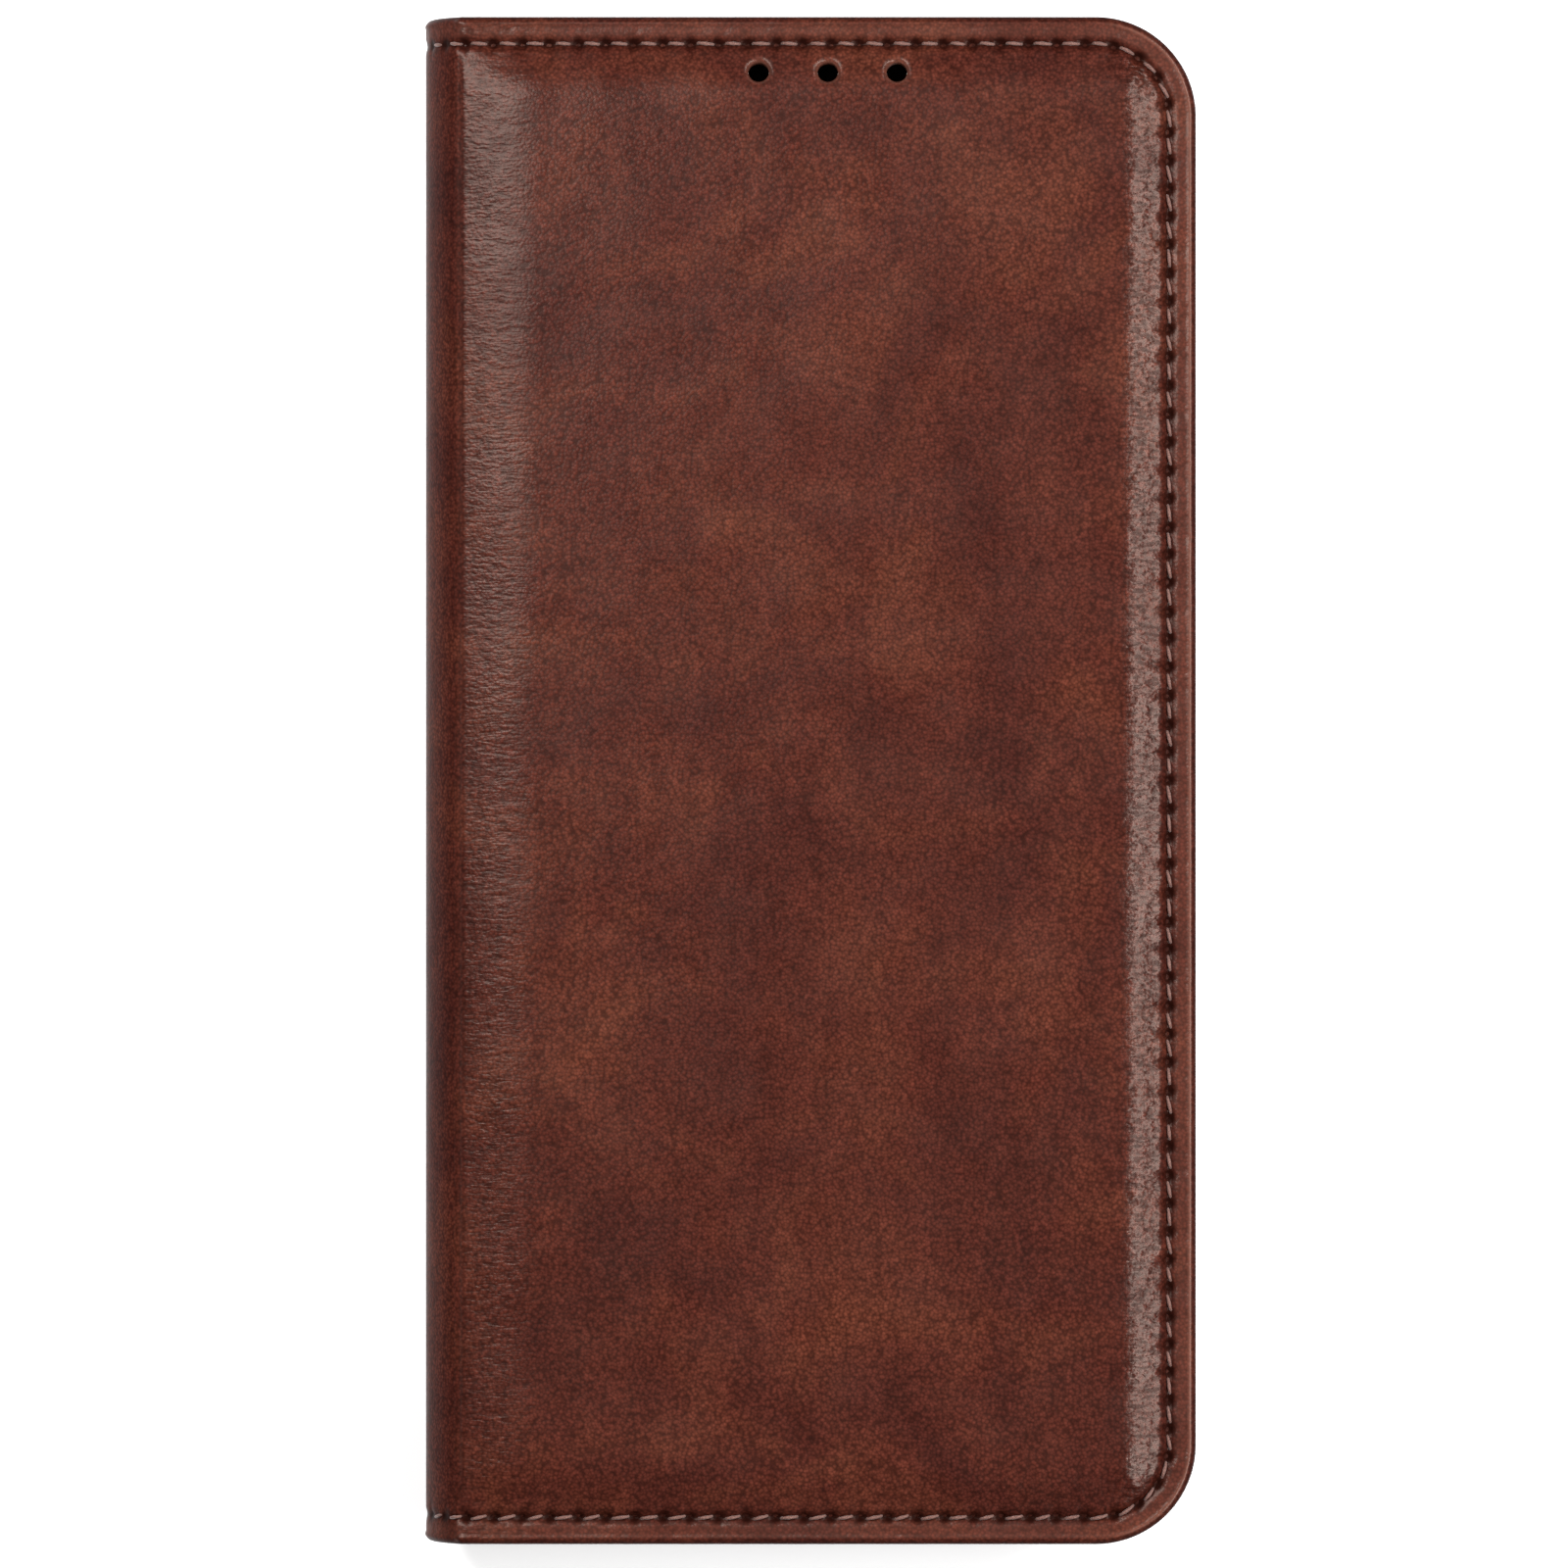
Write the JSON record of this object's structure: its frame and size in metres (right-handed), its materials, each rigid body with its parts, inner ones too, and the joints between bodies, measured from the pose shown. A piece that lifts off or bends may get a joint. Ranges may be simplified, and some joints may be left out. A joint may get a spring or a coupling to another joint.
{
  "type": "phone wallet case",
  "caption": "Book-style phone wallet case in brown leather: padded flap with sound holes, card slots and cash pocket, soft phone shell with camera window, curved fold-back spine.",
  "frame": {"origin": "centre of the underside, on the surface that the closed case lies on", "axes": "+Z from the back cover to the front flap, +Y to the phone's top, +X to the flap's free edge; the spine is at -X"},
  "size_m": [0.0848, 0.168, 0.0177],
  "materials": {
    "cover_leather": "fine pebbled grain, waxed pull-up leather, satin",
    "pocket_leather": "smooth thin leather, satin",
    "lining": "short suede nap",
    "board": "pressed fibre board",
    "stiffener": "plain sheet",
    "foam": "open foam sheet",
    "adhesive": "foam bonding sheet",
    "shell": "matt moulded thermoplastic rubber",
    "magnet": "nickel plated",
    "thread": "twisted polyester sewing thread"
  },
  "bodies": {
    "back": {"back_cover_leather": "cover_leather", "back_board": "board", "back_lining": "lining", "shell_bond_pad": "adhesive", "phone_shell": "shell", "shell_magnet_lower": "magnet", "shell_magnet_upper": "magnet", "back_seam_thread": "thread"},
    "spine": {"spine_leather": "cover_leather", "spine_stiffener": "stiffener", "spine_lining": "lining", "spine_seam_thread": "thread"},
    "front": {"front_cover_leather": "cover_leather", "front_foam_pad": "foam", "front_board": "board", "front_lining": "lining", "cash_pocket_panel": "pocket_leather", "card_slot_panel_1": "pocket_leather", "card_slot_panel_2": "pocket_leather", "card_slot_panel_3": "pocket_leather", "flap_magnet_lower": "magnet", "flap_magnet_upper": "magnet", "front_seam_thread": "thread", "pocket_seam_thread": "thread"},
    "volume_button": {"volume_button_pad": "shell"},
    "power_button": {"power_button_pad": "shell"}
  },
  "joints": [
    {"name": "spine_fold", "type": "hinge", "parent": "back", "child": "spine", "pos_m": [-0.03973, 0, 0.00115], "axis": [0, -1, 0], "range_deg": [0, 178]},
    {"name": "flap_fold", "type": "hinge", "parent": "spine", "child": "front", "pos_m": [-0.03973, 0, 0.0156], "axis": [0, -1, 0], "range_deg": [0, 178]},
    {"name": "volume_press", "type": "slide", "parent": "back", "child": "volume_button", "axis": [-1, 0, 0], "range_m": [0, 0.0004], "stiffness_N_per_m": 1500},
    {"name": "power_press", "type": "slide", "parent": "back", "child": "power_button", "axis": [-1, 0, 0], "range_m": [0, 0.0004], "stiffness_N_per_m": 1500}
  ]
}
